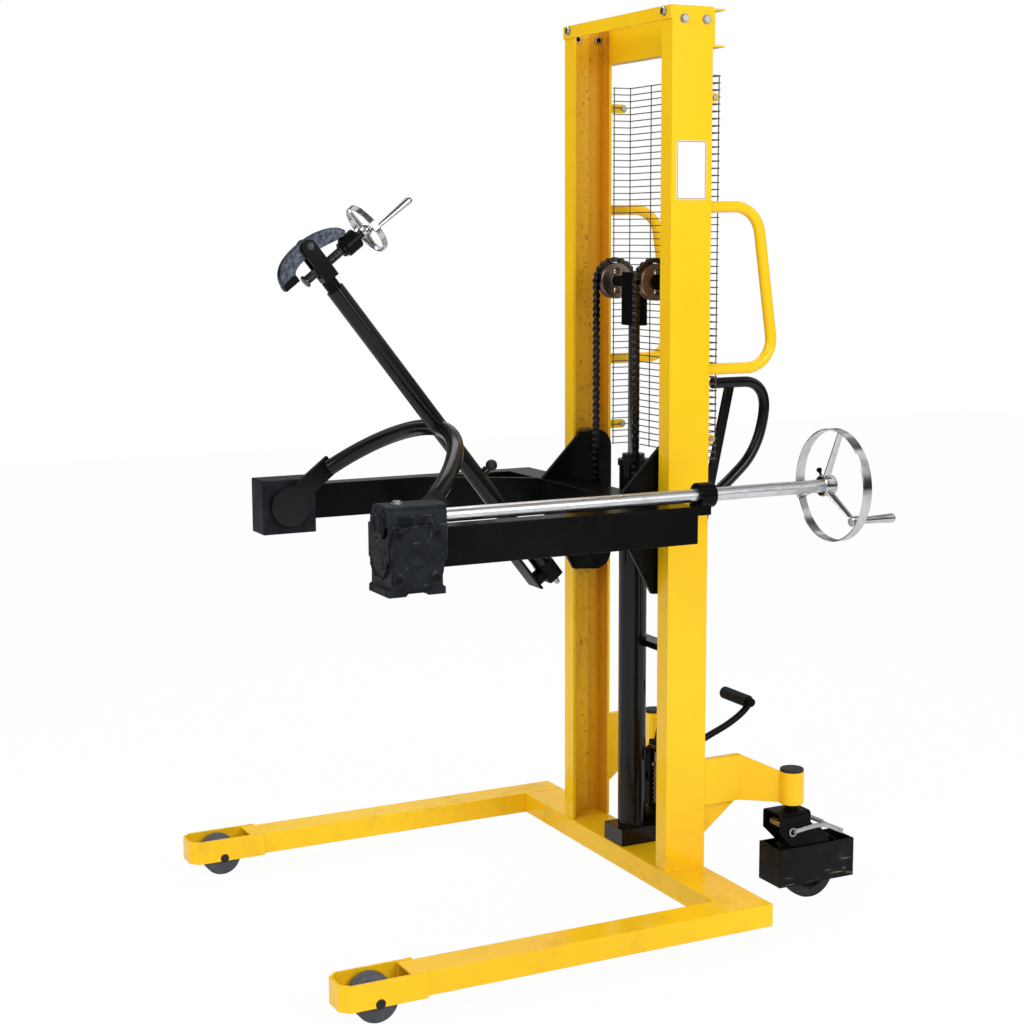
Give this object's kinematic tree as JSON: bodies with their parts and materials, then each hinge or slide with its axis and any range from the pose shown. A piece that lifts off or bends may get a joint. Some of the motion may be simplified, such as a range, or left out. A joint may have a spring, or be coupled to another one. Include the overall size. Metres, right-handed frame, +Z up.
{
  "type": "drum tipper",
  "caption": "Hand-pumped stacker with a mast, chain-lifted carriage arms, a tilting round-load holder turned by a worm box and handwheel, straddle legs and braked castors.",
  "frame": {"origin": "on the floor, midway across the legs and midway between the front roller brackets and the crank grip's rear end", "axes": "+Z up the mast, +X to the operator's left (the handwheel's side), front of the machine at -Y"},
  "size_m": [1.046, 1.344, 1.9885],
  "materials": {
    "yellow_paint": "gloss",
    "black_paint": "gloss",
    "black_casting": "satin",
    "zinc": "satin",
    "chrome": "polished",
    "dark_wire": "satin",
    "chain_steel": "oiled",
    "bare_steel": "satin",
    "bronze": "satin",
    "dark_tread": "matte"
  },
  "bodies": {
    "chassis": {"left_leg": "yellow_paint", "right_leg": "yellow_paint", "base_crossbeam": "yellow_paint", "left_fork_bracket": "yellow_paint", "right_fork_bracket": "yellow_paint", "left_upright": "yellow_paint", "right_upright": "yellow_paint", "top_crossmembers": "yellow_paint", "frame_fasteners": "zinc", "mesh_guard": "dark_wire", "left_rear_handle": "yellow_paint", "right_rear_handle": "yellow_paint", "left_outrigger": "yellow_paint", "right_outrigger": "yellow_paint", "lift_cylinder": "black_paint", "rear_chains": "chain_steel", "pump_body": "black_paint", "pump_spring": "chain_steel"},
    "carriage": {"carriage_crossbeam": "black_paint", "left_arm": "black_paint", "right_arm": "black_paint", "carriage_plates": "black_paint", "gearbox_housing": "black_casting", "gearbox_cover": "black_casting", "right_bearing_block": "black_casting", "shaft_collar": "black_paint", "front_chains": "chain_steel"},
    "ram": {"piston_rod": "chrome", "ram_head": "black_paint", "chain_wraps": "chain_steel"},
    "holder": {"holder_hoop": "black_paint", "worm_wheel": "bronze", "spine_tube": "black_paint", "lower_clamp": "black_paint"},
    "clamp_head": {"clamp_link": "black_paint"},
    "jaw": {"clamp_jaw": "black_paint"},
    "clamp_screw": {"clamp_screw": "chrome"},
    "lock_knob": {"lock_knob": "black_paint"},
    "hand_shaft": {"worm_shaft": "zinc", "handwheel": "chrome"},
    "crank_grip": {"crank_grip": "chrome"},
    "tiller": {"pump_tiller": "black_paint"},
    "plunger": {"pump_plunger": "zinc"},
    "foot_pedal": {"foot_pedal": "black_paint"},
    "left_sheave": {"left_sheave": "bare_steel"},
    "left_upper_roller": {"left_upper_roller": "bare_steel"},
    "left_lower_roller": {"left_lower_roller": "bare_steel"},
    "left_load_roller": {"left_load_roller": "dark_tread"},
    "left_castor_wheel": {"left_castor_wheel": "dark_tread"},
    "left_brake_pedal": {"left_brake_pedal": "zinc"},
    "left_castor": {"left_castor_fork": "black_paint", "left_castor_guard": "black_paint"},
    "right_sheave": {"right_sheave": "bare_steel"},
    "right_upper_roller": {"right_upper_roller": "bare_steel"},
    "right_lower_roller": {"right_lower_roller": "bare_steel"},
    "right_load_roller": {"right_load_roller": "dark_tread"},
    "right_castor_wheel": {"right_castor_wheel": "dark_tread"},
    "right_brake_pedal": {"right_brake_pedal": "zinc"},
    "right_castor": {"right_castor_fork": "black_paint", "right_castor_guard": "black_paint"}
  },
  "joints": [
    {"name": "carriage_lift", "type": "slide", "parent": "chassis", "child": "carriage", "axis": [0, 0, 1], "range_m": [-0.43, 0.88], "deforming": ["front_chains"]},
    {"name": "ram_lift", "type": "slide", "parent": "chassis", "child": "ram", "axis": [0, 0, 1], "range_m": [-0.22, 0.45], "deforming": ["rear_chains"]},
    {"name": "left_sheave_spin", "type": "hinge", "parent": "ram", "child": "left_sheave", "pos_m": [0.09, 0.272, 1.405], "axis": [1, 0, 0], "range_deg": [-600, 600]},
    {"name": "left_upper_roller_spin", "type": "hinge", "parent": "carriage", "child": "left_upper_roller", "pos_m": [0.216, 0.272, 1.01], "axis": [1, 0, 0], "range_deg": [-1300, 1300]},
    {"name": "left_lower_roller_spin", "type": "hinge", "parent": "carriage", "child": "left_lower_roller", "pos_m": [0.216, 0.272, 0.756], "axis": [1, 0, 0], "range_deg": [-1300, 1300]},
    {"name": "right_sheave_spin", "type": "hinge", "parent": "ram", "child": "right_sheave", "pos_m": [-0.09, 0.272, 1.405], "axis": [1, 0, 0], "range_deg": [-600, 600]},
    {"name": "right_upper_roller_spin", "type": "hinge", "parent": "carriage", "child": "right_upper_roller", "pos_m": [-0.216, 0.272, 1.01], "axis": [1, 0, 0], "range_deg": [-1300, 1300]},
    {"name": "right_lower_roller_spin", "type": "hinge", "parent": "carriage", "child": "right_lower_roller", "pos_m": [-0.216, 0.272, 0.756], "axis": [1, 0, 0], "range_deg": [-1300, 1300]},
    {"name": "holder_tilt", "type": "hinge", "parent": "carriage", "child": "holder", "pos_m": [0, -0.456, 0.899], "axis": [1, 0, 0], "range_deg": [-38, 142]},
    {"name": "hand_shaft_spin", "type": "hinge", "parent": "carriage", "child": "hand_shaft", "pos_m": [0.365, 0.272, 0.962], "axis": [0, 1, 0], "range_deg": [-1200, 4320]},
    {"name": "crank_grip_spin", "type": "hinge", "parent": "hand_shaft", "child": "crank_grip", "pos_m": [0.445, 0.62, 0.892], "axis": [0, 1, 0], "continuous": true},
    {"name": "clamp_head_slide", "type": "slide", "parent": "holder", "child": "clamp_head", "axis": [0, -0.6157, 0.788], "range_m": [-0.02, 0.15]},
    {"name": "clamp_screw_spin", "type": "hinge", "parent": "jaw", "child": "clamp_screw", "pos_m": [0, -0.416, 1.49751], "axis": [0, 0.788, 0.6157], "range_deg": [-810, 180]},
    {"name": "jaw_pivot", "type": "hinge", "parent": "clamp_head", "child": "jaw", "pos_m": [0, -0.51465, 1.48896], "axis": [1, 0, 0], "range_deg": [-14, 3]},
    {"name": "knob_pull", "type": "slide", "parent": "holder", "child": "lock_knob", "axis": [0, 0.788, 0.6157], "range_m": [0, 0.01], "stiffness_N_per_m": 600, "springref_m": -0.006},
    {"name": "left_load_roller_spin", "type": "hinge", "parent": "chassis", "child": "left_load_roller", "pos_m": [0.4795, -0.591, 0.045], "axis": [1, 0, 0], "continuous": true},
    {"name": "left_castor_swivel", "type": "hinge", "parent": "chassis", "child": "left_castor", "pos_m": [0.303, 0.515, 0.26], "axis": [0, 0, 1], "continuous": true},
    {"name": "left_castor_wheel_spin", "type": "hinge", "parent": "left_castor", "child": "left_castor_wheel", "pos_m": [0.303, 0.562, 0.0625], "axis": [1, 0, 0], "continuous": true},
    {"name": "left_brake", "type": "hinge", "parent": "left_castor", "child": "left_brake_pedal", "pos_m": [0.303, 0.494, 0.172], "axis": [-1, 0, 0], "range_deg": [0, 5]},
    {"name": "right_load_roller_spin", "type": "hinge", "parent": "chassis", "child": "right_load_roller", "pos_m": [-0.4795, -0.591, 0.045], "axis": [1, 0, 0], "continuous": true},
    {"name": "right_castor_swivel", "type": "hinge", "parent": "chassis", "child": "right_castor", "pos_m": [-0.303, 0.515, 0.26], "axis": [0, 0, 1], "continuous": true},
    {"name": "right_castor_wheel_spin", "type": "hinge", "parent": "right_castor", "child": "right_castor_wheel", "pos_m": [-0.303, 0.562, 0.0625], "axis": [1, 0, 0], "continuous": true},
    {"name": "right_brake", "type": "hinge", "parent": "right_castor", "child": "right_brake_pedal", "pos_m": [-0.303, 0.494, 0.172], "axis": [-1, 0, 0], "range_deg": [0, 5]},
    {"name": "tiller_swing", "type": "hinge", "parent": "chassis", "child": "tiller", "pos_m": [0, 0.344, 0.31], "axis": [-1, 0, 0], "range_deg": [0, 40]},
    {"name": "plunger_stroke", "type": "slide", "parent": "chassis", "child": "plunger", "axis": [0, 0, 1], "range_m": [-0.029, 0.001], "deforming": ["pump_spring"]},
    {"name": "foot_pedal_swing", "type": "hinge", "parent": "chassis", "child": "foot_pedal", "pos_m": [0.046, 0.357, 0.285], "axis": [-1, 0, 0], "range_deg": [0, 22], "stiffness_Nm_per_rad": 14, "springref_deg": -28.65}
  ],
  "couplings": [
    {"joint": "ram_lift", "follows": "carriage_lift", "ratio": 0.5},
    {"joint": "hand_shaft_spin", "follows": "holder_tilt", "ratio": 30},
    {"joint": "jaw_pivot", "follows": "clamp_screw_spin", "ratio": 0.016667},
    {"joint": "plunger_stroke", "follows": "tiller_swing", "m_per_rad": -0.04},
    {"joint": "left_sheave_spin", "follows": "carriage_lift", "rad_per_m": -10.4},
    {"joint": "left_upper_roller_spin", "follows": "carriage_lift", "rad_per_m": 23.8},
    {"joint": "left_lower_roller_spin", "follows": "carriage_lift", "rad_per_m": -23.8},
    {"joint": "right_sheave_spin", "follows": "carriage_lift", "rad_per_m": -10.4},
    {"joint": "right_upper_roller_spin", "follows": "carriage_lift", "rad_per_m": 23.8},
    {"joint": "right_lower_roller_spin", "follows": "carriage_lift", "rad_per_m": -23.8}
  ]
}
